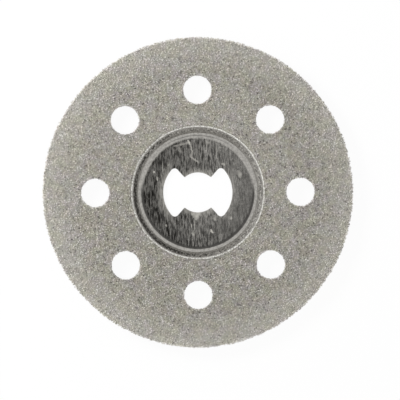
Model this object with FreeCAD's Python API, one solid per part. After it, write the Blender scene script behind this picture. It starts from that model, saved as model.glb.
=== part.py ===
"""Diamond cutting disc with a pressed, dished hub and a twist-lock drive hole.

One piece of thin steel sheet: blanked, pierced and pressed in one stroke, then
plated outside the hub with nickel that holds diamond grit. Lengths are in
millimetres. +Z is the disc's axis and points out of the dished front. The origin
is the centre of the hub's back face, which is the lowest plane of the part.
The lobes of the drive hole lie along X.
"""

import math
import os

import FreeCAD
import Part

# Blank and grit coat
disc_diameter = 38.0  # over the grit
sheet_thickness = 0.4  # bare steel
coat_thickness = 0.1  # nickel and grit, on each face and round the rim
rim_chamfer = 0.12  # the coat's corners at the cutting edge
coat_edge_chamfer = 0.05  # the coat's edge where it stops at the hub
bare_land = 0.07  # bare ring between the hub's bend and the coat

# Dished hub
hub_depth = 1.2  # from the sheet's front face down to the hub's floor
lip_diameter = 16.3  # where the flat face starts to bend down
lip_radius = 0.25  # outer bend, on the front face
lip_back_radius = 0.15  # inner bend, on the back face
wall_angle = 52.0  # degrees between the hub's floor and its wall
floor_radius = 1.05  # inner bend, between floor and wall

# Twist-lock drive hole
pilot_diameter = 4.9  # the round waist that centres the disc
lobe_diameter = 8.5  # over the two lobes that the driver's head passes through
lobe_half_angle = 48.5  # degrees from the lobe's middle to its side
lobe_corner_radius = 0.5  # outer corners of a lobe
waist_corner_radius = 0.12  # the four tips where a lobe meets the waist

# Round holes in the coated ring
hole_count = 8
hole_diameter = 3.5
hole_circle_diameter = 25.15
hole_edge_chamfer = 0.06  # the coat's edge round each hole, on both faces

# Heights of the sheet's and the coat's faces
floor_top = sheet_thickness
sheet_front = floor_top + hub_depth
sheet_back = sheet_front - sheet_thickness
coat_front = sheet_front + coat_thickness
coat_back = sheet_back - coat_thickness


def vector(r, z):
    """A point of the section, r from the axis and z above the hub's back face."""
    return FreeCAD.Vector(r, 0.0, z)


def line(start, end):
    """A straight edge of the section."""
    return Part.makeLine(vector(*start), vector(*end))


def bend(centre, radius, start_angle, end_angle):
    """A round edge of the section about a centre, between two angles in degrees."""
    points = []
    for angle in (start_angle, (start_angle + end_angle) / 2, end_angle):
        turn = math.radians(angle)
        points.append(vector(centre[0] + radius * math.cos(turn), centre[1] + radius * math.sin(turn)))
    return Part.Arc(*points).toShape()


def joined(pieces):
    """One closed face from round pieces in order, with a straight edge across each gap."""
    edges = []
    for piece, following in zip(pieces, pieces[1:] + pieces[:1]):
        end = piece.valueAt(piece.LastParameter)
        start = following.valueAt(following.FirstParameter)
        edges.append(piece)
        if end.distanceToPoint(start) > 1e-6:
            edges.append(Part.makeLine(end, start))
    return Part.Face(Part.Wire(edges))


def disc_section():
    """Half the disc's section: hub floor, bends, wall, land, coat and rim, then back along the back."""
    slope = math.radians(wall_angle)
    setback = math.tan(slope / 2)  # from a sharp corner to its bend's tangent, for a radius of 1
    rise = 90.0 + wall_angle
    fall = wall_angle - 90.0

    lip_corner = lip_diameter / 2 - lip_radius * setback
    floor_corner = lip_corner - hub_depth / math.tan(slope)
    floor_edge = floor_corner - floor_radius * setback
    back_corner = lip_corner + sheet_thickness * setback
    back_edge = back_corner + lip_back_radius * setback
    coat_start_front = lip_diameter / 2 + bare_land
    coat_start_back = back_edge + bare_land
    rim = disc_diameter / 2

    floor_bend = (floor_edge, floor_top + floor_radius)
    lip_bend = (lip_diameter / 2, sheet_front - lip_radius)
    back_bend = (back_edge, sheet_back - lip_back_radius)
    front_shoulder = (coat_start_front, coat_front - coat_edge_chamfer)
    back_shoulder = (coat_start_back, coat_back + coat_edge_chamfer)

    return joined(
        [
            line((0.0, 0.0), (0.0, floor_top)),
            bend(floor_bend, floor_radius, -90.0, fall),
            bend(lip_bend, lip_radius, rise, 90.0),
            line((coat_start_front, sheet_front), front_shoulder),
            line(front_shoulder, (coat_start_front + coat_edge_chamfer, coat_front)),
            line((rim - rim_chamfer, coat_front), (rim, coat_front - rim_chamfer)),
            line((rim, coat_back + rim_chamfer), (rim - rim_chamfer, coat_back)),
            line((coat_start_back + coat_edge_chamfer, coat_back), back_shoulder),
            line((coat_start_back, sheet_back), (back_edge, sheet_back)),
            bend(back_bend, lip_back_radius, 90.0, rise),
            bend(floor_bend, floor_radius + sheet_thickness, fall, -90.0),
        ]
    )


def disc_blank():
    """The dished, coated disc before its holes."""
    return disc_section().revolve(FreeCAD.Vector(0, 0, 0), FreeCAD.Vector(0, 0, 1), 360)


def upright(tool, radius):
    """The upright edges of a cutting tool whose corners lie at this radius from the axis."""
    found = []
    for edge in tool.Edges:
        foot, head = edge.valueAt(edge.FirstParameter), edge.valueAt(edge.LastParameter)
        along_axis = math.hypot(head.x - foot.x, head.y - foot.y) < 1e-6
        if along_axis and abs(math.hypot(foot.x, foot.y) - radius) < 1e-3:
            found.append(edge)
    return found


def drive_hole_tool():
    """The drive hole as a solid: a round waist with two sector lobes, its corners rounded."""
    overrun = sheet_thickness / 2  # past each face of the hub
    height = sheet_thickness + 2 * overrun
    foot = FreeCAD.Vector(0, 0, -overrun)
    waist = Part.makeCylinder(pilot_diameter / 2, height, foot)
    swing = Part.makeCylinder(lobe_diameter / 2, height, foot)

    reach = lobe_diameter
    spread = reach * math.tan(math.radians(lobe_half_angle))
    tool = waist
    for side in (-1, 1):
        outline = Part.makePolygon(
            [
                foot,
                foot + FreeCAD.Vector(side * reach, -spread, 0),
                foot + FreeCAD.Vector(side * reach, spread, 0),
                foot,
            ]
        )
        sector = Part.Face(outline).extrude(FreeCAD.Vector(0, 0, height))
        tool = tool.fuse(swing.common(sector))
    tool = tool.removeSplitter()
    tool = tool.makeFillet(lobe_corner_radius, upright(tool, lobe_diameter / 2))
    return tool.makeFillet(waist_corner_radius, upright(tool, pilot_diameter / 2))


def round_hole_tool():
    """One hole of the coated ring on the +X axis, chamfered at both faces of the coat."""
    wall = hole_diameter / 2
    flare = hole_edge_chamfer + coat_thickness  # the chamfers run on past both faces
    section = Part.makePolygon(
        [
            vector(0.0, coat_back - coat_thickness),
            vector(0.0, coat_front + coat_thickness),
            vector(wall + flare, coat_front + coat_thickness),
            vector(wall, coat_front - hole_edge_chamfer),
            vector(wall, coat_back + hole_edge_chamfer),
            vector(wall + flare, coat_back - coat_thickness),
            vector(0.0, coat_back - coat_thickness),
        ]
    )
    tool = Part.Face(section).revolve(FreeCAD.Vector(0, 0, 0), FreeCAD.Vector(0, 0, 1), 360)
    tool.translate(FreeCAD.Vector(hole_circle_diameter / 2, 0, 0))
    return tool


def around_axis(tool, count):
    """Evenly spaced copies of a tool round the disc's axis."""
    copies = []
    for index in range(count):
        copy = tool.copy()
        copy.rotate(FreeCAD.Vector(0, 0, 0), FreeCAD.Vector(0, 0, 1), index * 360.0 / count)
        copies.append(copy)
    return copies


def cutting_disc():
    """The finished disc."""
    disc = disc_blank().cut(drive_hole_tool())
    return disc.cut(around_axis(round_hole_tool(), hole_count)).removeSplitter()


def main():
    """Builds the disc, reports its size and writes it out."""
    disc = cutting_disc()
    box = disc.optimalBoundingBox()
    print(f"valid {disc.isValid()}, solids {len(disc.Solids)}, faces {len(disc.Faces)}")
    print(f"size {box.XLength:.3f} x {box.YLength:.3f} x {box.ZLength:.3f} mm, volume {disc.Volume:.2f} mm3")
    os.makedirs("parts", exist_ok=True)
    disc.Solids[0].exportStep("parts/cutting_disc.step")


main()
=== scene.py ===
"""Looks of the diamond cutting disc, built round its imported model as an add-on of operators.

The disc is a thin steel sheet with a dished bare hub. Outside the hub it is nickel plated,
and the plate holds diamond grit, which is modelled crystal by crystal on both faces, round
the rim and in the mouths of the eight holes.
"""

import math

import bmesh
import bpy
import numpy as np
from bpy.props import FloatProperty, FloatVectorProperty, IntProperty, PointerProperty
from bpy.types import Operator, Panel, PropertyGroup
from mathutils import Matrix, Vector


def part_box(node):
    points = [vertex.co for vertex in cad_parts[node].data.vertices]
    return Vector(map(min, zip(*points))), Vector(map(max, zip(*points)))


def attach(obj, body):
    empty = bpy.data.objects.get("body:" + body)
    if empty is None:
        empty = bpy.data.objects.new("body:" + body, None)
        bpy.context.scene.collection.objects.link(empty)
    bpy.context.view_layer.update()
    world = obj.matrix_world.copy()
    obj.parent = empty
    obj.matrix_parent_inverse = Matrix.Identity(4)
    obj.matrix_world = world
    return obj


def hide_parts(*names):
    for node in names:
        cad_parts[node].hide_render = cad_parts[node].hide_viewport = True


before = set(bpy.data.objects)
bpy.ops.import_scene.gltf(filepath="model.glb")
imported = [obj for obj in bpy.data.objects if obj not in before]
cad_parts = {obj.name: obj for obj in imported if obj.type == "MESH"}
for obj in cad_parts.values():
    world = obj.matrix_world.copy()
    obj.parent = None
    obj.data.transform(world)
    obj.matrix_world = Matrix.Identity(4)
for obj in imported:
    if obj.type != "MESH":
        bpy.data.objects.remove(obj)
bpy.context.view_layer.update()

bl_info = {
    "name": "Diamond Cutting Disc",
    "version": (1, 0, 0),
    "blender": (4, 5, 0),
    "location": "View3D > Sidebar > Disc",
    "description": "Models a plated diamond cutting disc with a dished twist-lock hub",
    "category": "Add Mesh",
}

MM = 0.001
NODE = "cutting_disc"
BODY = "root"
LOW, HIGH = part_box(NODE)
AROUND = 288  # segments of every ring of the disc, a multiple of the hole count
NEAR = 0.02 * MM  # how close an edge lies to where it is looked for
FLOOR_GAP = 0.01 * MM  # between the hub's back and the stage's floor
LAMP_SIZE = 0.05
LAMP_PLACE = (-0.1, 0.065, 0.085)

# Scratches and dents in the hub's floor: x and y of both ends, width and depth of tone, in mm
SCRATCHES = (
    (-1.15, 6.35, -0.9, 5.9, 0.16, 0.9),
    (-0.9, 5.9, -0.68, 5.0, 0.12, 0.5),
    (-0.68, 5.0, -0.85, 4.35, 0.12, 0.45),
    (-0.85, 4.35, -0.25, 4.0, 0.12, 0.5),
    (-0.25, 4.0, 0.05, 3.65, 0.12, 0.5),
    (-0.6, -2.6, 0.1, -2.62, 0.42, 0.68),
    (-0.35, -2.95, -0.1, -2.9, 0.34, 0.72),
    (-0.22, -3.1, -0.26, -3.25, 0.26, 0.65),
    (-0.42, -3.4, -0.48, -5.3, 0.12, 0.4),
    (-0.66, -5.1, -0.6, -5.2, 0.2, 0.6),
    (-5.33, 2.58, -5.33, 2.5, 0.14, 1.0),
    (-4.97, 1.9, -4.97, 1.5, 0.12, 0.7),
    (-3.62, 3.3, -3.5, 3.42, 0.12, 0.6),
    (3.05, 3.5, 3.25, 3.4, 0.22, 0.6),
    (5.1, 2.1, 5.25, 2.2, 0.25, 0.5),
    (5.2, 1.8, 5.2, 2.2, 0.12, 0.4),
    (1.6, -4.6, 1.75, -4.95, 0.12, 0.9),
    (4.06, -3.1, 4.1, -3.2, 0.2, 0.6),
    (-3.91, -4.0, -3.91, -4.1, 0.15, 0.6),
    (-0.79, -4.0, -0.79, -4.2, 0.12, 0.7),
    (2.05, -3.25, 2.1, -3.4, 0.15, 0.5),
    (-2.82, 5.7, -1.15, 6.1, 0.16, 0.4),
    (-2.3, 5.6, -2.1, 5.05, 0.16, 0.35),
    (-4.32, 3.65, -4.32, 2.6, 0.14, 0.35),
    (1.05, 6.2, 1.3, 6.1, 0.3, 0.35),
    (1.08, 5.85, 1.08, 4.95, 0.1, 0.35),
    (2.3, 6.0, 2.3, 4.2, 0.1, 0.3),
    (2.7, 5.5, 3.3, 5.4, 0.12, 0.3),
    (5.0, 2.5, 5.2, 2.0, 0.3, 0.35),
)


def linear(hex_colour):
    """Turns an sRGB hex colour into the linear values that Blender works in."""
    channels = []
    for start in (0, 2, 4):
        value = int(hex_colour[start:start + 2], 16) / 255
        channels.append(value / 12.92 if value <= 0.04045 else ((value + 0.055) / 1.055) ** 2.4)
    return tuple(channels)


def length(name, millimetres, description):
    """A length property whose default is given in millimetres."""
    return FloatProperty(
        name=name, default=millimetres * MM, unit="LENGTH", precision=5, description=description
    )


def colour(name, hex_colour, description):
    """A colour property whose default is given as an sRGB hex value."""
    return FloatVectorProperty(
        name=name, default=linear(hex_colour), size=3, min=0, max=1,
        subtype="COLOR", description=description,
    )


class DiscSizes(PropertyGroup):
    """The sheet, its dished hub and its holes."""

    diameter: length("Diameter", (HIGH.x - LOW.x) / MM, "Over the grit at the rim")
    coat_front: length("Coat front", HIGH.z / MM, "Height of the coat's front face over the hub's back")
    coated_thickness: length("Coated thickness", 0.6, "Over the coat on both faces")
    coat_thickness: length("Coat thickness", 0.1, "Nickel and grit on each face")
    bond_below_face: length("Bond below face", 0.09, "How far the nickel lies below the crystals' tops")
    bond_below_rim: length("Bond below rim", 0.15, "The same at the rim, where the crystals stand out")
    rim_radius: length("Rim radius", 0.15, "The coat's rounding at the cutting edge")
    coat_edge: length("Coat edge", 0.05, "The coat's chamfer where it stops at the hub")
    bare_land: length("Bare land", 0.07, "Bare ring between the hub's bend and the coat")
    # The ring of painted highlight on the hub's bend at the lip, up to the coat's step
    highlight_inside: length("Highlight inside", 0.12, "How far the bright bead reaches in over the hub's bend")
    highlight_clear: length("Highlight clear", 0.01, "Between the bead and the coat's step")
    hub_depth: length("Hub depth", 1.2, "From the sheet's front face to the hub's floor")
    lip_diameter: length("Lip diameter", 16.3, "Where the flat face starts to bend down")
    lip_radius: length("Lip radius", 0.25, "Outer bend on the front face")
    lip_back_radius: length("Lip back radius", 0.15, "Inner bend on the back face")
    floor_radius: length("Floor radius", 1.05, "Inner bend between the hub's floor and wall")
    wall_angle: FloatProperty(
        name="Wall angle", default=math.radians(52), subtype="ANGLE",
        description="Between hub floor and wall",
    )
    pilot_diameter: length("Pilot diameter", 4.9, "Round waist of the drive hole")
    lobe_diameter: length("Lobe diameter", 8.5, "Over the drive hole's two lobes")
    lobe_half_angle: FloatProperty(
        name="Lobe half angle", default=math.radians(48.5), subtype="ANGLE", description="Half of one lobe"
    )
    lobe_corner: length("Lobe corner", 0.5, "Rounding of a lobe's outer corners")
    waist_corner: length("Waist corner", 0.12, "Rounding of the four tips at the waist")
    hole_count: IntProperty(name="Holes", default=8, min=1, description="Round holes in the coated ring")
    hole_diameter: length("Hole diameter", 3.5, "Round holes in the coated ring")
    hole_circle: length("Hole circle", 25.15, "Circle that the round holes lie on")
    hole_chamfer: length("Hole chamfer", 0.06, "The coat's edge round each hole")
    sheared_edge: length("Sheared edge", 0.05, "Rounding by the punch on the drive hole's edge")


class GritSizes(PropertyGroup):
    """The diamond crystals in the nickel plate."""

    spacing: length("Spacing", 0.207, "Mean distance between crystals on the faces")
    smallest: length("Smallest", 0.15, "Width of the smallest crystals")
    largest: length("Largest", 0.34, "Width of the largest crystals")
    lowest_top: length("Lowest top", -0.04, "Top of the most sunken crystals over the coat's face")
    highest_top: length("Highest top", 0.04, "Top of the proudest crystals over the coat's face")
    edge_spacing: length("Edge spacing", 0.18, "Mean distance between crystals on the edges")
    rim_lowest: length("Rim lowest", -0.16, "Top of the most sunken crystals at the cutting edge")
    rim_highest: length("Rim highest", 0.11, "Top of the proudest crystals at the cutting edge")
    hole_lowest: length("Hole lowest", -0.06, "Top of the most sunken crystals in a hole")
    hole_highest: length("Hole highest", 0.06, "Top of the proudest crystals in a hole")
    margin: length("Margin", -0.04, "Clear of the coat's inner edge and of the holes")
    seed: IntProperty(name="Seed", default=38, description="Fixes the random scatter")


class DiscColours(PropertyGroup):
    """The colours of the disc's finishes."""

    steel: colour("Hub steel", "D0CDC7", "Bare rolled steel of the hub")
    # Dims the rolling lines and blotches, and is the painted shade on the hub's left side
    steel_streaks_and_shade: colour("Hub steel, dull", "45433F", "Shading on one side of the hub")
    steel_worn: colour("Hub steel, worn", "D8D5CC", "Scratches and rubbed edges")
    # Both colours paint a highlight on the hub's lip: its darker and lighter specks
    highlight_dark: colour("Highlight, dark", "A3A097", "Dull specks of the coat's edge at the hub's lip")
    highlight_light: colour("Highlight, light", "F6F5F0", "Bright specks of the coat's edge at the hub's lip")
    nickel: colour("Nickel bond", "B7B5AB", "Matte nickel between the crystals")
    grain_dark: colour("Grain, dark", "45433E", "Darkest crystals")
    grain_light: colour("Grain, light", "E6E4DF", "Lightest crystals")
    khaki: colour("Khaki cast", "FFFFF6", "Tint where the coat looks greener")
    rose: colour("Rose cast", "FFFAFF", "Tint where the coat looks pinker")
    shade: colour("Shade", "F2F2F2", "Tint where the coat is duller")
    # The colour that the coat goes towards at the rim, where it is lighter
    rim_tint: colour("Worn coat", "FFFDF4", "Lighter coat towards the cutting edge")
    paper: colour("Floor", "F5F5F5", "Plain studio floor")


class StageSizes(PropertyGroup):
    """The camera and the lamps."""

    frame_width: length("Frame width", 49.0, "Width of the picture at the coat's front face")
    axis_right: length("Axis right", 0.263, "How far right of the disc's axis the camera looks")
    axis_down: length("Axis down", 0.937, "How far below the disc's axis the camera looks")
    camera_height: length("Camera height", 400, "Camera above the coat's front face")
    roll: FloatProperty(
        name="Roll", default=math.radians(0.3), subtype="ANGLE", description="Turn of the camera"
    )
    tent: FloatProperty(name="Tent", default=0.85, description="Brightness of the light tent")
    opening: FloatProperty(name="Opening", default=0.16, description="Brightness of the tent's opening")
    opening_reach: FloatProperty(
        name="Opening reach", default=math.radians(45), subtype="ANGLE",
        description="From overhead to its far edge",
    )
    opening_start: FloatProperty(
        name="Opening start", default=math.radians(-4), subtype="ANGLE",
        description="From overhead to its near edge",
    )
    key_power: FloatProperty(name="Key power", default=0.185, unit="POWER", description="Of the key lamp")


def props():
    """The add-on's settings on the scene."""
    scene = bpy.context.scene
    return scene.disc_sizes, scene.disc_grit, scene.disc_colours, scene.disc_stage


# Modelling helpers


def deselect_all():
    """Leaves nothing selected, and object mode on."""
    if bpy.context.object and bpy.context.object.mode != "OBJECT":
        bpy.ops.object.mode_set(mode="OBJECT")
    bpy.ops.object.select_all(action="DESELECT")


def only(obj):
    """Makes one object the selected and active one."""
    deselect_all()
    obj.select_set(True)
    bpy.context.view_layer.objects.active = obj
    return obj


def add_cylinder(radius, low, high, vertices=AROUND):
    """Adds an upright cylinder about the disc's axis between two heights."""
    deselect_all()
    bpy.ops.mesh.primitive_cylinder_add(
        vertices=vertices, radius=radius, depth=high - low, location=(0, 0, (low + high) / 2)
    )
    bpy.ops.object.transform_apply(location=True)
    return bpy.context.object


def pick(obj, faces=None, edges=None):
    """In edit mode, selects only the faces or edges that a test of their middle and direction picks."""
    bpy.ops.object.mode_set(mode="EDIT")
    bpy.ops.mesh.select_mode(type="FACE" if faces else "EDGE")
    bpy.ops.mesh.select_all(action="DESELECT")
    mesh = bmesh.from_edit_mesh(obj.data)
    if faces:
        for face in mesh.faces:
            face.select_set(faces(face.calc_center_median(), face.normal))
    else:
        for edge in mesh.edges:
            ends = [v.co for v in edge.verts]
            edge.select_set(edges((ends[0] + ends[1]) / 2, ends[1] - ends[0]))
    bmesh.update_edit_mesh(obj.data)


def step_in(radius_now, radius_new, rise=0.0):
    """Extrudes the selected round face, then moves it along the axis and scales it to a new radius."""
    bpy.ops.mesh.extrude_region_move(TRANSFORM_OT_translate={"value": (0, 0, rise)})
    share = radius_new / radius_now
    bpy.ops.transform.resize(value=(share, share, 1), center_override=(0, 0, 0))


def round_ring(obj, radius, height, bend_radius, turn, segments):
    """Rounds one ring edge of the disc, which turns by an angle, to a bend radius."""

    def on_ring(middle, along):
        level = abs(along.z) < NEAR and abs(middle.z - height) < NEAR
        return level and abs(math.hypot(middle.x, middle.y) - radius) < NEAR

    pick(obj, edges=on_ring)
    offset = bend_radius * math.tan(turn / 2)
    bpy.ops.mesh.bevel(offset=offset, offset_type="OFFSET", segments=segments, profile=0.5, affect="EDGES")


def boolean(obj, tool, operation):
    """Joins a tool to an object or cuts it out, and removes the tool."""
    only(obj)
    modifier = obj.modifiers.new(operation.lower(), "BOOLEAN")
    modifier.operation = operation
    modifier.solver = "EXACT"
    modifier.object = tool
    bpy.ops.object.modifier_apply(modifier=modifier.name)
    bpy.data.objects.remove(tool, do_unlink=True)
    return obj


# The steel body


def dished_blank(sizes):
    """The sheet with its coat step and dished hub, from one cylinder by extruding and scaling its ends."""
    rim = sizes.diameter / 2 - sizes.bond_below_rim
    front = sizes.coat_front - sizes.bond_below_face
    back = sizes.coat_front - sizes.coated_thickness + sizes.bond_below_face
    sheet_front = sizes.coat_front - sizes.coat_thickness
    sheet = sizes.coated_thickness - 2 * sizes.coat_thickness
    sheet_back = sheet_front - sheet
    setback = math.tan(sizes.wall_angle / 2)
    lip = sizes.lip_diameter / 2 - sizes.lip_radius * setback
    foot = lip - sizes.hub_depth / math.tan(sizes.wall_angle)
    land_front = sizes.lip_diameter / 2 + sizes.bare_land
    lip_back = lip + sheet * setback
    foot_back = foot + sheet * setback
    land_back = lip_back + sizes.lip_back_radius * setback + sizes.bare_land

    disc = add_cylinder(rim, back, front)
    pick(disc, faces=lambda middle, normal: normal.z > 0.9)
    step_in(rim, land_front)
    step_in(land_front, land_front, sheet_front - front)
    step_in(land_front, lip)
    step_in(lip, foot, -sizes.hub_depth)
    pick(disc, faces=lambda middle, normal: normal.z < -0.9)
    step_in(rim, land_back)
    step_in(land_back, land_back, sheet_back - back)
    step_in(land_back, lip_back)
    step_in(lip_back, foot_back, -sizes.hub_depth)

    right_angle = math.pi / 2
    round_ring(disc, lip, sheet_front, sizes.lip_radius, sizes.wall_angle, 8)
    round_ring(disc, foot, sheet_front - sizes.hub_depth, sizes.floor_radius, sizes.wall_angle, 12)
    round_ring(disc, lip_back, sheet_back, sizes.lip_back_radius, sizes.wall_angle, 6)
    round_ring(disc, foot_back, 0.0, sizes.floor_radius + sheet, sizes.wall_angle, 12)
    round_ring(disc, rim, front, sizes.rim_radius, right_angle, 6)
    round_ring(disc, rim, back, sizes.rim_radius, right_angle, 6)
    round_ring(disc, land_front, front, sizes.coat_edge, right_angle, 2)
    round_ring(disc, land_back, back, sizes.coat_edge, right_angle, 2)
    bpy.ops.object.mode_set(mode="OBJECT")
    return disc


def arc(centre, radius, start, end, steps):
    """Points along an arc in the XY plane."""
    angles = np.linspace(start, end, steps + 1)
    return np.stack([centre[0] + radius * np.cos(angles), centre[1] + radius * np.sin(angles)], axis=1)


def drive_hole_outline(sizes):
    """The drive hole's outline: a quarter from a lobe's middle to the waist's, mirrored to all four."""
    lobe, pilot = sizes.lobe_diameter / 2, sizes.pilot_diameter / 2
    corner, tip, side = sizes.lobe_corner, sizes.waist_corner, sizes.lobe_half_angle
    corner_turn = side - math.asin(corner / (lobe - corner))
    tip_turn = side + math.asin(tip / (pilot + tip))
    corner_place = (lobe - corner) * np.array([math.cos(corner_turn), math.sin(corner_turn)])
    tip_place = (pilot + tip) * np.array([math.cos(tip_turn), math.sin(tip_turn)])
    right_angle = math.pi / 2
    quarter = np.concatenate(
        [
            arc((0, 0), lobe, 0.0, corner_turn, 30)[:-1],
            arc(corner_place, corner, corner_turn, side + right_angle, 8),
            arc(tip_place, tip, side - right_angle, tip_turn - math.pi, 5),
            arc((0, 0), pilot, tip_turn, right_angle, 24)[1:],
        ]
    )
    half = np.concatenate([quarter, (quarter * (-1, 1))[-2::-1]])
    return np.concatenate([half, (half * (1, -1))[-2:0:-1]])


def drive_hole_tool(sizes):
    """The drive hole as a solid that runs out through both faces of the hub."""
    over = sizes.coat_thickness
    outline = drive_hole_outline(sizes)
    mesh = bpy.data.meshes.new("drive_hole")
    mesh.from_pydata([(x, y, -over) for x, y in outline], [], [list(range(len(outline)))])
    tool = bpy.data.objects.new("drive_hole", mesh)
    bpy.context.scene.collection.objects.link(tool)
    only(tool)
    bpy.ops.object.mode_set(mode="EDIT")
    bpy.ops.mesh.select_all(action="SELECT")
    rise = (0, 0, sizes.coated_thickness + over)
    bpy.ops.mesh.extrude_region_move(TRANSFORM_OT_translate={"value": rise})
    bpy.ops.mesh.select_all(action="SELECT")
    bpy.ops.mesh.normals_make_consistent(inside=False)
    bpy.ops.object.mode_set(mode="OBJECT")
    return tool


def round_sheared_edge(body, sizes):
    """Rounds the drive hole's edge on the hub's front, where the punch went in."""
    floor = sizes.coat_front - sizes.coat_thickness - sizes.hub_depth
    offset = sizes.sheared_edge
    reach = sizes.lobe_diameter / 2 + offset + NEAR

    def on_edge(middle, along):
        level = abs(along.z) < NEAR and abs(middle.z - floor) < NEAR
        return level and math.hypot(middle.x, middle.y) < reach

    pick(body, edges=on_edge)
    bpy.ops.mesh.bevel(offset=offset, offset_type="OFFSET", segments=3, profile=0.5, affect="EDGES")
    pick(body, edges=on_edge)
    bpy.ops.mesh.mark_sharp()
    bpy.ops.object.mode_set(mode="OBJECT")


def round_hole_tool(sizes, index):
    """One round hole as a solid, flared at both faces, at its place on the hole circle."""
    front = sizes.coat_front - sizes.bond_below_face
    back = sizes.coat_front - sizes.coated_thickness + sizes.bond_below_face
    wall = sizes.hole_diameter / 2 + sizes.bond_below_face / 2
    over = sizes.coat_thickness
    flare = wall + sizes.hole_chamfer
    tool = add_cylinder(wall, back + sizes.hole_chamfer, front - sizes.hole_chamfer, vertices=96)
    for up in (1, -1):
        pick(tool, faces=lambda middle, normal, up=up: up * normal.z > 0.9)
        step_in(wall, flare + over, up * (sizes.hole_chamfer + over))
    bpy.ops.object.mode_set(mode="OBJECT")
    tool.data.transform(Matrix.Translation((sizes.hole_circle / 2, 0, 0)))
    tool.data.transform(Matrix.Rotation(index * 2 * math.pi / sizes.hole_count, 4, "Z"))
    return tool


class DISC_OT_steel_body(Operator):
    """Models the pressed and plated steel sheet with its dished hub and its holes"""

    bl_idname = "disc.steel_body"
    bl_label = "Steel body"

    def execute(self, context):
        sizes, grit, colours, stage = props()
        body = dished_blank(sizes)
        boolean(body, drive_hole_tool(sizes), "DIFFERENCE")
        round_sheared_edge(body, sizes)
        for index in range(sizes.hole_count):
            boolean(body, round_hole_tool(sizes, index), "DIFFERENCE")
        body.name = body.data.name = "steel_body"
        only(body)
        bpy.ops.object.shade_smooth_by_angle(angle=math.radians(30))
        body.data.materials.append(bare_steel(sizes, colours))
        body.data.materials.append(nickel_bond(sizes, colours))
        body.data.materials.append(lip_painted_highlight(colours))
        coat_start = sizes.lip_diameter / 2 + sizes.bare_land
        # Front faces over the hub's lip get the painted highlight
        highlight_start = sizes.lip_diameter / 2 - sizes.highlight_inside
        highlight_end = coat_start - sizes.highlight_clear
        for face in body.data.polygons:
            middle = face.center
            radius = math.hypot(middle.x, middle.y)
            highlight = highlight_start < radius < highlight_end
            if highlight and middle.z > sizes.coat_front - sizes.coated_thickness / 2:
                face.material_index = 2
            else:
                face.material_index = 1 if radius > coat_start - sizes.bare_land / 2 else 0
        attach(body, BODY)
        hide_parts(NODE)
        return {"FINISHED"}


# The diamond grit


def model_crystal():
    """One crystal of unit width, an octahedron as diamond grows: its corners and triangles."""
    deselect_all()
    bpy.ops.mesh.primitive_cone_add(vertices=4, radius1=0.5, depth=0.5, end_fill_type="NGON")
    crystal = bpy.context.object
    pick(crystal, faces=lambda middle, normal: normal.z < -0.9)
    bpy.ops.mesh.poke(offset=0.5)
    bpy.ops.object.mode_set(mode="OBJECT")
    corners = np.array([vertex.co for vertex in crystal.data.vertices])
    triangles = np.array([list(face.vertices) for face in crystal.data.polygons])
    bpy.data.objects.remove(crystal, do_unlink=True)
    return corners - corners.mean(axis=0), triangles


def random_turns(random, count):
    """Evenly spread random rotation matrices."""
    q = random.normal(size=(count, 4))
    w, x, y, z = (q / np.linalg.norm(q, axis=1, keepdims=True)).T
    rows = [
        [1 - 2 * (y * y + z * z), 2 * (x * y - w * z), 2 * (x * z + w * y)],
        [2 * (x * y + w * z), 1 - 2 * (x * x + z * z), 2 * (y * z - w * x)],
        [2 * (x * z - w * y), 2 * (y * z + w * x), 1 - 2 * (x * x + y * y)],
    ]
    return np.array(rows).transpose(2, 0, 1)


def crystals(name, spots, outward, tops, darkest, random, finish):
    """A mesh of crystals at spots on the coat, each broken, turned, sized and toned at random.

    The tops are the lowest and highest that a crystal reaches outward over its spot. The darkest is
    the lowest tone, where the lightest is 1: many crystals are light and few are dark.
    """
    sizes, grit, colours, stage = props()
    corners, triangles = model_crystal()
    count = len(spots)
    width = grit.smallest + (grit.largest - grit.smallest) * random.beta(2, 2.5, count)
    chipped = corners[None] * random.uniform(0.75, 1.2, (count, len(corners), 1))
    turned = np.einsum("nij,nkj->nki", random_turns(random, count), chipped * width[:, None, None])
    reach = np.einsum("nkj,nj->nk", turned, outward).max(axis=1)
    top = random.uniform(*tops, count)
    middles = spots + outward * (top - reach)[:, None]
    points = (turned + middles[:, None]).reshape(-1, 3)
    back = sizes.coat_front - sizes.coated_thickness
    points[:, 2] = np.clip(points[:, 2], back - grit.highest_top, sizes.coat_front + grit.highest_top)
    faces = (triangles[None] + (np.arange(count) * len(corners))[:, None, None]).reshape(-1, 3)
    tone = 1.0 - (1.0 - darkest) * random.beta(1, 2, count)

    mesh = bpy.data.meshes.new(name)
    mesh.from_pydata(points.tolist(), [], faces.tolist())
    tones = mesh.attributes.new("grain_tone", "FLOAT", "POINT")
    tones.data.foreach_set("value", np.repeat(tone, len(corners)).astype(np.float32))
    mesh.materials.append(finish)
    piece = bpy.data.objects.new(name, mesh)
    bpy.context.scene.collection.objects.link(piece)
    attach(piece, BODY)
    print(f"{name}: {count} crystals, {len(faces)} triangles")
    return piece


def scattered(spacing, reach, random):
    """Points scattered over a square, one in each cell of a staggered grid."""
    row = spacing * math.sqrt(3) / 2
    columns = np.arange(-reach, reach, spacing)
    rows = np.arange(-reach, reach, row)
    x, y = np.meshgrid(columns, rows)
    x = x + (np.arange(len(rows)) % 2)[:, None] * spacing / 2
    x = x + random.uniform(-0.8, 0.8, x.shape) * spacing
    y = y + random.uniform(-0.8, 0.8, y.shape) * row
    return x.ravel(), y.ravel()


def hole_places(sizes):
    """The middles of the round holes."""
    angles = np.arange(sizes.hole_count) * 2 * math.pi / sizes.hole_count
    return sizes.hole_circle / 2 * np.stack([np.cos(angles), np.sin(angles)], axis=1)


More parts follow.
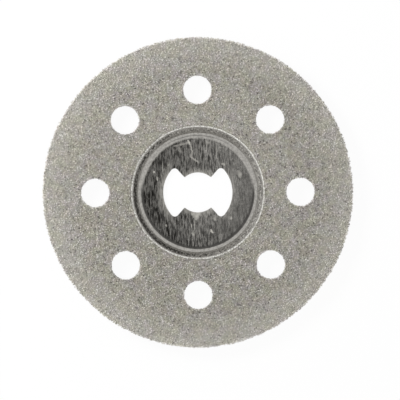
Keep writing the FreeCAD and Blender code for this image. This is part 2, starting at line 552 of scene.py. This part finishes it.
def face_spots(sizes, grit, random, front):
    """Where crystals lie on one flat face of the coat: clear of the hub and of the holes."""
    x, y = scattered(grit.spacing, sizes.diameter / 2, random)
    radius = np.hypot(x, y)
    setback = math.tan(sizes.wall_angle / 2)
    inner = sizes.lip_diameter / 2 + sizes.bare_land + sizes.coat_edge + grit.margin
    if not front:
        sheet = sizes.coated_thickness - 2 * sizes.coat_thickness
        inner += (sheet + sizes.lip_back_radius - sizes.lip_radius) * setback
    keep = (radius > inner) & (radius < sizes.diameter / 2 - sizes.rim_radius)
    for place in hole_places(sizes):
        off = np.hypot(x - place[0], y - place[1])
        keep &= off > sizes.hole_diameter / 2 + sizes.hole_chamfer + grit.margin
    height = sizes.coat_front if front else sizes.coat_front - sizes.coated_thickness
    spots = np.stack([x[keep], y[keep], np.full(keep.sum(), height)], axis=1)
    outward = np.tile([0.0, 0.0, 1.0 if front else -1.0], (len(spots), 1))
    return spots, outward


def edge_spots(sizes, grit, random, radius, bend):
    """Where crystals lie round a rounded edge of the coat, on a ring about Z: spots and outward directions.

    The edge faces away from the axis where the bend is positive and towards it where it is negative.
    """
    size = abs(bend)
    band = sizes.coated_thickness - 2 * size
    path = band + math.pi * size
    rows = max(3, round(path / grit.edge_spacing))
    per_row = round(2 * math.pi * radius / grit.edge_spacing)
    along = (np.arange(rows)[:, None] + random.uniform(0, 1, (rows, per_row))) / rows * path
    angle = (np.arange(per_row)[None] + random.uniform(0, 1, (rows, per_row))) / per_row * 2 * math.pi
    along, angle = along.ravel(), angle.ravel()
    from_middle = along - path / 2
    tilt = np.sign(from_middle) * np.clip((np.abs(from_middle) - band / 2) / size, 0, math.pi / 2)
    level = sizes.coat_front - sizes.coated_thickness / 2 + np.clip(from_middle, -band / 2, band / 2)
    out, up = np.cos(tilt) * np.sign(bend), np.sin(tilt)
    reach = radius - bend + size * out
    spots = np.stack([reach * np.cos(angle), reach * np.sin(angle), level + size * up], axis=1)
    outward = np.stack([out * np.cos(angle), out * np.sin(angle), up], axis=1)
    return spots, outward


class DISC_OT_face_grit(Operator):
    """Scatters diamond crystals over both faces of the coated ring"""

    bl_idname = "disc.face_grit"
    bl_label = "Face grit"

    def execute(self, context):
        sizes, grit, colours, stage = props()
        finish = diamond_grit(sizes, colours)
        for name, front in (("grit_front", True), ("grit_back", False)):
            random = np.random.default_rng(grit.seed + front)
            spots, outward = face_spots(sizes, grit, random, front)
            crystals(name, spots, outward, (grit.lowest_top, grit.highest_top), 0.0, random, finish)
        return {"FINISHED"}


class DISC_OT_edge_grit(Operator):
    """Scatters diamond crystals round the cutting edge and in the mouths of the round holes"""

    bl_idname = "disc.edge_grit"
    bl_label = "Edge grit"

    def execute(self, context):
        sizes, grit, colours, stage = props()
        finish = diamond_grit(sizes, colours)
        random = np.random.default_rng(grit.seed + 2)
        spots, outward = edge_spots(sizes, grit, random, sizes.diameter / 2, sizes.rim_radius)
        crystals("grit_rim", spots, outward, (grit.rim_lowest, grit.rim_highest), 0.4, random, finish)
        spots, outward = [], []
        for place in hole_places(sizes):
            near, towards = edge_spots(sizes, grit, random, sizes.hole_diameter / 2, -sizes.hole_chamfer)
            spots.append(near + (*place, 0.0))
            outward.append(towards)
        spots, outward = np.concatenate(spots), np.concatenate(outward)
        crystals("grit_holes", spots, outward, (grit.hole_lowest, grit.hole_highest), 0.2, random, finish)
        return {"FINISHED"}


# Finishes


def add_node(tree, kind, inputs=None, **settings):
    """Adds a node: settings are its properties, and inputs its values or the sockets that feed it."""
    node = tree.nodes.new(kind)
    for name, value in settings.items():
        setattr(node, name, value)
    for name, value in (inputs or {}).items():
        socket = node.inputs[name]
        if isinstance(value, bpy.types.NodeSocket):
            tree.links.new(value, socket)
        elif socket.type == "RGBA":
            socket.default_value = (*value[:3], 1.0)
        else:
            socket.default_value = value
    return node


def new_material(name):
    """An empty node material with its output, and the object's own coordinates."""
    material = bpy.data.materials.new(name)
    material.use_nodes = True
    tree = material.node_tree
    tree.nodes.clear()
    output = add_node(tree, "ShaderNodeOutputMaterial")
    where = add_node(tree, "ShaderNodeTexCoord").outputs["Object"]
    return material, tree, output, where


def from_axis(tree, where):
    """The distance from the disc's axis."""
    flat = add_node(tree, "ShaderNodeVectorMath", {0: where, 1: (1, 1, 0)}, operation="MULTIPLY").outputs[0]
    return add_node(tree, "ShaderNodeVectorMath", {0: flat}, operation="LENGTH").outputs["Value"]


def rolled_grain(tree, where):
    """Strength of the rolling lines, 0 to 1: fine lines along Y, fainter on one side."""
    strength = 0.0
    layers = ((0.08 * MM, 10, 0.5), (0.17 * MM, 4, 0.28), (0.8 * MM, 2, 0.15), (0.1 * MM, 1, 0.07))
    for width, stretch, share in layers:
        scale = (1 / width, 1 / (width * stretch), 1 / (width * stretch))
        mapped = add_node(tree, "ShaderNodeMapping", {"Vector": where, "Scale": scale}).outputs[0]
        layer = {"Vector": mapped, "Scale": 1.0, "Detail": 2.0}
        layer = add_node(tree, "ShaderNodeTexNoise", layer).outputs["Fac"]
        added = {0: layer, 1: share, 2: strength}
        strength = add_node(tree, "ShaderNodeMath", added, operation="MULTIPLY_ADD").outputs[0]
    aside = {0: where, 1: (-0.98, 0.17, 0.0)}
    aside = add_node(tree, "ShaderNodeVectorMath", aside, operation="DOT_PRODUCT").outputs["Value"]
    faint = {"Value": aside, "From Min": -5 * MM, "From Max": -1 * MM, "To Min": 0.3, "To Max": 1.0}
    faint = add_node(tree, "ShaderNodeMapRange", faint).outputs[0]
    strength = add_node(tree, "ShaderNodeMath", {0: strength, 1: 0.5}, operation="SUBTRACT").outputs[0]
    strength = {0: strength, 1: faint, 2: 0.5}
    return add_node(tree, "ShaderNodeMath", strength, operation="MULTIPLY_ADD").outputs[0]


def scratches(tree, where):
    """1 in the scratches and dents of the hub's floor, and 0 elsewhere."""
    blur = add_node(tree, "ShaderNodeTexNoise", {"Vector": where, "Scale": 1 / (0.25 * MM), "Detail": 2.0})
    wander = {0: blur.outputs["Color"], 1: (0.3 * MM,) * 3, 2: (-0.15 * MM,) * 3}
    bent = add_node(tree, "ShaderNodeVectorMath", wander, operation="MULTIPLY_ADD").outputs[0]
    bent = add_node(tree, "ShaderNodeVectorMath", {0: where, 1: bent}, operation="ADD").outputs[0]
    flat = add_node(tree, "ShaderNodeVectorMath", {0: bent, 1: (1, 1, 0)}, operation="MULTIPLY").outputs[0]
    total = 0.0
    for x_start, y_start, x_end, y_end, width, depth in SCRATCHES:
        start, end = Vector((x_start, y_start, 0)) * MM, Vector((x_end, y_end, 0)) * MM
        run = end - start
        off = add_node(tree, "ShaderNodeVectorMath", {0: flat, 1: start}, operation="SUBTRACT").outputs[0]
        share = {0: off, 1: run / run.length_squared}
        share = add_node(tree, "ShaderNodeVectorMath", share, operation="DOT_PRODUCT").outputs["Value"]
        share = add_node(tree, "ShaderNodeClamp", {"Value": share}).outputs[0]
        near = {0: run, "Scale": share}
        near = add_node(tree, "ShaderNodeVectorMath", near, operation="SCALE").outputs[0]
        gap = {0: off, 1: near}
        gap = add_node(tree, "ShaderNodeVectorMath", gap, operation="DISTANCE").outputs["Value"]
        reach = width * MM
        fade = {"Value": gap, "From Min": 0.3 * reach, "From Max": reach, "To Min": depth, "To Max": 0.0}
        fade = add_node(tree, "ShaderNodeMapRange", fade).outputs[0]
        total = add_node(tree, "ShaderNodeMath", {0: total, 1: fade}, operation="MAXIMUM").outputs[0]
    return total


def rubbed_edge(tree, where, sizes):
    """Wear round the drive hole, where a driver rubs: strongest at the left lobe."""
    radius = from_axis(tree, where)
    edge = sizes.lobe_diameter / 2
    lobes = {"Value": radius, "From Min": edge, "From Max": edge + 1.0 * MM, "To Min": 1.0, "To Max": 0.0}
    lobes = add_node(tree, "ShaderNodeMapRange", lobes).outputs[0]
    across = add_node(tree, "ShaderNodeSeparateXYZ", {0: where}).outputs["X"]
    left = {"Value": across, "From Min": -3.8 * MM, "From Max": -3.0 * MM, "To Min": 0.5, "To Max": 0.0}
    left = add_node(tree, "ShaderNodeMapRange", left).outputs[0]
    right = {"Value": across, "From Min": 3.0 * MM, "From Max": 3.8 * MM, "To Min": 0.0, "To Max": 0.22}
    right = add_node(tree, "ShaderNodeMapRange", right).outputs[0]
    across = add_node(tree, "ShaderNodeMath", {0: left, 1: right}, operation="ADD").outputs[0]
    lobes = add_node(tree, "ShaderNodeMath", {0: lobes, 1: across}, operation="MULTIPLY").outputs[0]
    edge = sizes.pilot_diameter / 2
    waist = {"Value": radius, "From Min": edge, "From Max": edge + 0.8 * MM, "To Min": 0.38, "To Max": 0.0}
    waist = add_node(tree, "ShaderNodeMapRange", waist).outputs[0]
    return add_node(tree, "ShaderNodeMath", {0: lobes, 1: waist}, operation="MAXIMUM").outputs[0]


def steel_lightness(tree, where, lines, sizes):
    """How light the hub's steel is, 0 to 1: dimmed along its rolling lines and in blotches, and by painted
    shade on one side of the floor and high up on the wall there.
    """
    top = sizes.coat_front - sizes.coat_thickness
    floor = top - sizes.hub_depth
    height = add_node(tree, "ShaderNodeSeparateXYZ", {0: where}).outputs["Z"]

    streaks = {"Value": lines, "From Min": 0.42, "From Max": 0.54, "To Min": 0.7, "To Max": 0.0}
    streaks = add_node(tree, "ShaderNodeMapRange", streaks).outputs[0]
    # Painted shade: the floor is darker towards the left
    aside = {0: where, 1: (-0.98, 0.17, 0.0)}
    aside = add_node(tree, "ShaderNodeVectorMath", aside, operation="DOT_PRODUCT").outputs["Value"]
    floor_streaks_and_shade = {"Value": aside, "From Min": -2 * MM, "From Max": 5 * MM, "To Min": -0.24, "To Max": 0.2}
    floor_streaks_and_shade = add_node(tree, "ShaderNodeMapRange", floor_streaks_and_shade).outputs[0]
    floor_streaks_and_shade = add_node(tree, "ShaderNodeMath", {0: streaks, 1: floor_streaks_and_shade}, operation="ADD").outputs[0]
    low = {"Value": height, "From Min": floor, "From Max": floor + 0.03 * MM, "To Min": 1.0, "To Max": 0.0}
    low = add_node(tree, "ShaderNodeMapRange", low).outputs[0]
    low = add_node(tree, "ShaderNodeMath", {0: low, 1: floor_streaks_and_shade}, operation="MULTIPLY").outputs[0]

    chatter = {"Vector": where, "Scale": 1 / (0.22 * MM), "Detail": 2.0}
    chatter = add_node(tree, "ShaderNodeTexNoise", chatter).outputs["Fac"]
    chatter = {"Value": chatter, "From Min": 0.38, "From Max": 0.62, "To Min": 0.5, "To Max": -0.35}
    chatter = add_node(tree, "ShaderNodeMapRange", chatter).outputs[0]
    # Painted shade: high up on the wall, darker towards the left and a little down
    aside = {0: where, 1: (-0.94, -0.342, 0.0)}
    aside = add_node(tree, "ShaderNodeVectorMath", aside, operation="DOT_PRODUCT").outputs["Value"]
    wall_shade = {"Value": aside, "From Min": 0.0, "From Max": 7.5 * MM, "To Min": 0.0, "To Max": 0.84}
    wall_shade = add_node(tree, "ShaderNodeMapRange", wall_shade).outputs[0]
    wall_shade = add_node(tree, "ShaderNodeMath", {0: chatter, 1: wall_shade}, operation="ADD").outputs[0]
    fade = {"Value": height, "From Min": top - 0.22 * MM, "From Max": top - 0.1 * MM}
    fade = add_node(tree, "ShaderNodeMapRange", {**fade, "To Min": 1.0, "To Max": 0.0}).outputs[0]
    high = {"Value": height, "From Min": top - 0.8 * MM, "From Max": top - 0.5 * MM, "To Max": fade}
    high = add_node(tree, "ShaderNodeMapRange", high).outputs[0]
    dimmed = {0: high, 1: wall_shade, 2: low}
    dimmed = add_node(tree, "ShaderNodeMath", dimmed, operation="MULTIPLY_ADD").outputs[0]
    lightness = add_node(tree, "ShaderNodeMath", {0: 0.76, 1: dimmed}, operation="SUBTRACT").outputs[0]

    blotch = {"Vector": where, "Scale": 1 / (0.3 * MM), "Detail": 4.0, "Roughness": 0.65}
    blotch = add_node(tree, "ShaderNodeTexNoise", blotch).outputs["Fac"]
    blotch = {"Value": blotch, "From Min": 0.35, "From Max": 0.62, "To Min": 0.64, "To Max": 1.05}
    blotch = add_node(tree, "ShaderNodeMapRange", blotch).outputs[0]
    return add_node(tree, "ShaderNodeMath", {0: lightness, 1: blotch}, operation="MULTIPLY").outputs[0]


def bare_steel(sizes, colours):
    """Cold-rolled steel, left bare: it shines between its rolling lines, with blotches, painted shade on one
    side, and scratches.
    """
    material, tree, output, where = new_material("cold_rolled_steel")
    lines = rolled_grain(tree, where)
    worn = {0: scratches(tree, where), 1: rubbed_edge(tree, where, sizes)}
    worn = add_node(tree, "ShaderNodeMath", worn, operation="MAXIMUM").outputs[0]
    # The dimmed colour gives the rolling lines, the blotches and the painted shade on one side of the hub
    base = {0: steel_lightness(tree, where, lines, sizes), 6: colours.steel_streaks_and_shade, 7: colours.steel}
    base = add_node(tree, "ShaderNodeMix", base, data_type="RGBA").outputs[2]
    base = {0: worn, 6: base, 7: colours.steel_worn}
    base = add_node(tree, "ShaderNodeMix", base, data_type="RGBA").outputs[2]
    rough = {"Value": lines, "From Min": 0.42, "From Max": 0.6, "To Min": 0.1, "To Max": 0.4}
    rough = add_node(tree, "ShaderNodeMapRange", rough).outputs[0]
    floor = sizes.coat_front - sizes.coat_thickness - sizes.hub_depth
    height = add_node(tree, "ShaderNodeSeparateXYZ", {0: where}).outputs["Z"]
    bend_end = floor + sizes.floor_radius * (1 - math.cos(sizes.wall_angle))
    bent = {"Value": height, "From Min": bend_end, "From Max": bend_end + 0.05 * MM}
    bent = add_node(tree, "ShaderNodeMapRange", {**bent, "To Min": 0.4, "To Max": 1.0}).outputs[0]
    bent = {"Value": height, "From Min": floor, "From Max": floor + 0.02 * MM, "To Max": bent}
    bent = add_node(tree, "ShaderNodeMapRange", {**bent, "To Min": 1.0}).outputs[0]
    rough = add_node(tree, "ShaderNodeMath", {0: rough, 1: bent}, operation="MULTIPLY").outputs[0]
    rough = add_node(tree, "ShaderNodeMath", {0: worn, 1: 0.4, 2: rough}, operation="MULTIPLY_ADD").outputs[0]
    bump = {"Height": lines, "Strength": 0.3, "Distance": 0.01 * MM}
    bump = add_node(tree, "ShaderNodeBump", bump).outputs[0]
    metal = add_node(tree, "ShaderNodeMath", {0: worn, 1: -0.6, 2: 1.0}, operation="MULTIPLY_ADD").outputs[0]
    inputs = {"Base Color": base, "Metallic": metal, "Roughness": rough, "Normal": bump}
    shader = add_node(tree, "ShaderNodeBsdfPrincipled", inputs)
    tree.links.new(shader.outputs[0], output.inputs["Surface"])
    return material


def lip_painted_highlight(colours):
    """The coat's edge at the hub's lip, without grit: a painted highlight, near white on a half-metallic
    finish, duller in specks.
    """
    material, tree, output, where = new_material("painted_lip_highlight")
    specks = {"Vector": where, "Scale": 1 / (0.2 * MM), "Detail": 2.0}
    specks = add_node(tree, "ShaderNodeTexNoise", specks).outputs["Fac"]
    specks = {"Value": specks, "From Min": 0.38, "From Max": 0.6}
    specks = add_node(tree, "ShaderNodeMapRange", specks).outputs[0]
    # Painted highlight: near-white specks over the lip's bend
    base = {0: specks, 6: colours.highlight_dark, 7: colours.highlight_light}
    base = add_node(tree, "ShaderNodeMix", base, data_type="RGBA").outputs[2]
    inputs = {"Base Color": base, "Metallic": 0.35, "Roughness": 0.45}
    shader = add_node(tree, "ShaderNodeBsdfPrincipled", inputs)
    tree.links.new(shader.outputs[0], output.inputs["Surface"])
    return material


def with_casts(tree, where, base, sizes, colours):
    """Tints the coat with slow khaki, rose and duller patches, and lightens it towards the rim."""
    for offset, width, cast in ((0, 1.2, colours.khaki), (50, 1.2, colours.rose), (99, 0.7, colours.shade)):
        moved = {"Vector": where, "Location": (offset * MM,) * 3}
        moved = add_node(tree, "ShaderNodeMapping", moved).outputs[0]
        spread = {"Vector": moved, "Scale": 1 / (width * MM), "Detail": 2.0}
        spread = add_node(tree, "ShaderNodeTexNoise", spread).outputs["Fac"]
        spread = {"Value": spread, "From Min": 0.4, "From Max": 0.6}
        spread = add_node(tree, "ShaderNodeMapRange", spread).outputs[0]
        tinted = {0: spread, 6: base, 7: cast}
        base = add_node(tree, "ShaderNodeMix", tinted, data_type="RGBA", blend_type="MULTIPLY").outputs[2]
    # Makes the coat lighter towards the rim
    rim = sizes.diameter / 2
    light = {"Value": from_axis(tree, where), "From Min": 0.78 * rim, "From Max": rim}
    light = add_node(tree, "ShaderNodeMapRange", {**light, "To Min": 0.0, "To Max": 0.19}).outputs[0]
    lightened = {0: light, 6: base, 7: colours.rim_tint}
    return add_node(tree, "ShaderNodeMix", lightened, data_type="RGBA").outputs[2]


def nickel_bond(sizes, colours):
    """Electroplated nickel between the crystals: matte grey with a pebbled skin."""
    material, tree, output, where = new_material("electroplated_nickel")
    pebbles = {"Vector": where, "Scale": 1 / (0.15 * MM), "Detail": 3.0}
    pebbles = add_node(tree, "ShaderNodeTexNoise", pebbles).outputs["Fac"]
    base = with_casts(tree, where, colours.nickel, sizes, colours)
    bump = {"Height": pebbles, "Strength": 0.6, "Distance": 0.03 * MM}
    bump = add_node(tree, "ShaderNodeBump", bump).outputs[0]
    inputs = {"Base Color": base, "Metallic": 0.6, "Roughness": 0.55, "Normal": bump}
    shader = add_node(tree, "ShaderNodeBsdfPrincipled", inputs)
    tree.links.new(shader.outputs[0], output.inputs["Surface"])
    return material


def diamond_grit(sizes, colours):
    """Diamond crystals dulled by a flash of nickel: warm grey, each with its own tone and gloss."""
    name = "nickel_flashed_diamond"
    if name in bpy.data.materials:
        return bpy.data.materials[name]
    material, tree, output, where = new_material(name)
    tone = add_node(tree, "ShaderNodeAttribute", attribute_name="grain_tone").outputs["Fac"]
    fine = {"Vector": where, "Scale": 1 / (0.08 * MM), "Detail": 1.0}
    fine = add_node(tree, "ShaderNodeTexNoise", fine).outputs["Fac"]
    fine = {"Value": fine, "From Min": 0.35, "From Max": 0.65, "To Min": -0.5, "To Max": 0.5}
    fine = add_node(tree, "ShaderNodeMapRange", fine).outputs[0]
    tone = add_node(tree, "ShaderNodeMath", {0: tone, 1: fine}, operation="ADD", use_clamp=True).outputs[0]
    base = {0: tone, 6: colours.grain_dark, 7: colours.grain_light}
    base = add_node(tree, "ShaderNodeMix", base, data_type="RGBA").outputs[2]
    base = with_casts(tree, where, base, sizes, colours)
    rough = {"Value": tone, "To Min": 0.65, "To Max": 0.5}
    rough = add_node(tree, "ShaderNodeMapRange", rough).outputs[0]
    inputs = {"Base Color": base, "Metallic": 0.3, "Roughness": rough}
    shader = add_node(tree, "ShaderNodeBsdfPrincipled", inputs)
    tree.links.new(shader.outputs[0], output.inputs["Surface"])
    return material


# The stage


def paper_floor(colours):
    """Plain white paper: it shows nearly white and keeps a faint trace of the disc's shadow."""
    material, tree, output, where = new_material("white_paper")
    paper = add_node(tree, "ShaderNodeBsdfDiffuse", {"Color": colours.paper})
    glow = add_node(tree, "ShaderNodeEmission", {"Color": (1, 1, 1), "Strength": 1.0})
    path = add_node(tree, "ShaderNodeLightPath").outputs
    seen = {0: path["Is Camera Ray"], 1: path["Is Glossy Ray"]}
    seen = add_node(tree, "ShaderNodeMath", seen, operation="MAXIMUM").outputs[0]
    seen = {0: seen, 1: path["Is Transmission Ray"]}
    seen = add_node(tree, "ShaderNodeMath", seen, operation="MAXIMUM").outputs[0]
    share = add_node(tree, "ShaderNodeMath", {0: seen, 1: 0.95}, operation="MULTIPLY").outputs[0]
    mixed = add_node(tree, "ShaderNodeMixShader", {0: share, 1: paper.outputs[0], 2: glow.outputs[0]})
    tree.links.new(mixed.outputs[0], output.inputs["Surface"])
    return material


def light_tent(stage):
    """A white light tent with a darker opening beside the camera and a dimmer seam in front.

    It is plain white where the camera sees it.
    """
    world = bpy.data.worlds.new("light_tent")
    world.use_nodes = True
    tree = world.node_tree
    tree.nodes.clear()
    where = add_node(tree, "ShaderNodeTexCoord").outputs["Generated"]
    split = add_node(tree, "ShaderNodeSeparateXYZ", {0: where}).outputs
    soft = math.radians(4)
    reach, start = stage.opening_reach, stage.opening_start
    high = {"Value": split["Z"], "From Min": math.cos(reach + soft), "From Max": math.cos(reach - soft)}
    high = add_node(tree, "ShaderNodeMapRange", high).outputs[0]
    beside = {"Value": split["Y"], "From Min": math.sin(start - soft), "From Max": math.sin(start + soft)}
    beside = add_node(tree, "ShaderNodeMapRange", beside).outputs[0]
    inside = add_node(tree, "ShaderNodeMath", {0: high, 1: beside}, operation="MULTIPLY").outputs[0]
    seam = add_node(tree, "ShaderNodeMath", {0: split["Z"], 1: 0.67}, operation="SUBTRACT").outputs[0]
    seam = add_node(tree, "ShaderNodeMath", {0: seam}, operation="ABSOLUTE").outputs[0]
    seam = {"Value": seam, "From Min": 0.05, "From Max": 0.1, "To Min": 0.45, "To Max": 0.0}
    seam = add_node(tree, "ShaderNodeMapRange", seam).outputs[0]
    front = {"Value": split["Y"], "From Min": -0.68, "From Max": -0.58, "To Min": stage.tent, "To Max": 0.0}
    front = add_node(tree, "ShaderNodeMapRange", front).outputs[0]
    seam = add_node(tree, "ShaderNodeMath", {0: seam, 1: front}, operation="MULTIPLY").outputs[0]
    seam = add_node(tree, "ShaderNodeMath", {0: stage.tent, 1: seam}, operation="SUBTRACT").outputs[0]
    level = {"Value": inside, "To Min": seam, "To Max": stage.opening}
    level = add_node(tree, "ShaderNodeMapRange", level).outputs[0]
    level = add_node(tree, "ShaderNodeCombineColor", {0: level, 1: level, 2: level}).outputs[0]
    camera = add_node(tree, "ShaderNodeLightPath").outputs["Is Camera Ray"]
    seen = add_node(tree, "ShaderNodeMix", {0: camera, 6: level, 7: (1, 1, 1)}, data_type="RGBA").outputs[2]
    glow = add_node(tree, "ShaderNodeBackground", {"Color": seen, "Strength": 1.0})
    add_node(tree, "ShaderNodeOutputWorld", {"Surface": glow.outputs[0]})
    bpy.context.scene.world = world


def key_lamp(stage):
    """A soft lamp from the upper left that lights the grit and shows in no bare steel."""
    lamp = bpy.data.lights.new("key_lamp", "AREA")
    lamp.shape = "SQUARE"
    lamp.size = LAMP_SIZE
    lamp.energy = stage.key_power
    holder = bpy.data.objects.new("key_lamp", lamp)
    bpy.context.scene.collection.objects.link(holder)
    holder.location = LAMP_PLACE
    holder.rotation_euler = (-holder.location).to_track_quat("-Z", "Y").to_euler()
    holder.visible_glossy = False
    return holder


class DISC_OT_stage(Operator):
    """Lays the white floor, hangs the light tent and the key lamp, and sets up the camera"""

    bl_idname = "disc.stage"
    bl_label = "Stage"

    def execute(self, context):
        sizes, grit, colours, stage = props()
        deselect_all()
        bpy.ops.mesh.primitive_plane_add(size=2.0, location=(0, 0, -FLOOR_GAP))
        floor = bpy.context.object
        floor.name = floor.data.name = "floor"
        floor.data.materials.append(paper_floor(colours))
        light_tent(stage)
        key_lamp(stage)

        scene = context.scene
        lens = bpy.data.cameras.new("camera")
        lens.sensor_width = 36.0
        lens.lens = lens.sensor_width * stage.camera_height / stage.frame_width
        lens.clip_start = 0.01
        camera = bpy.data.objects.new("camera", lens)
        scene.collection.objects.link(camera)
        camera.location = (stage.axis_right, -stage.axis_down, sizes.coat_front + stage.camera_height)
        camera.rotation_euler = (0, 0, -stage.roll)
        scene.camera = camera
        scene.view_settings.view_transform = "Standard"
        return {"FINISHED"}


class VIEW3D_PT_disc(Panel):
    """Lists the disc's settings and the operators that build it"""

    bl_label = "Diamond Cutting Disc"
    bl_space_type = "VIEW_3D"
    bl_region_type = "UI"
    bl_category = "Disc"

    def draw(self, context):
        for settings in props():
            for name in settings.__annotations__:
                self.layout.prop(settings, name)
        for step in STEPS:
            self.layout.operator(step.bl_idname)


GROUPS = {
    "disc_sizes": DiscSizes,
    "disc_grit": GritSizes,
    "disc_colours": DiscColours,
    "disc_stage": StageSizes,
}
STEPS = (DISC_OT_steel_body, DISC_OT_face_grit, DISC_OT_edge_grit, DISC_OT_stage)


def register():
    for group in GROUPS.values():
        bpy.utils.register_class(group)
    for name, group in GROUPS.items():
        setattr(bpy.types.Scene, name, PointerProperty(type=group))
    for step in STEPS + (VIEW3D_PT_disc,):
        bpy.utils.register_class(step)


def unregister():
    for step in reversed(STEPS + (VIEW3D_PT_disc,)):
        bpy.utils.unregister_class(step)
    for name, group in GROUPS.items():
        delattr(bpy.types.Scene, name)
        bpy.utils.unregister_class(group)


def main():
    """Builds the disc and its stage."""
    register()
    bpy.ops.disc.steel_body()
    bpy.ops.disc.face_grit()
    bpy.ops.disc.edge_grit()
    bpy.ops.disc.stage()


if __name__ == "__main__":
    main()
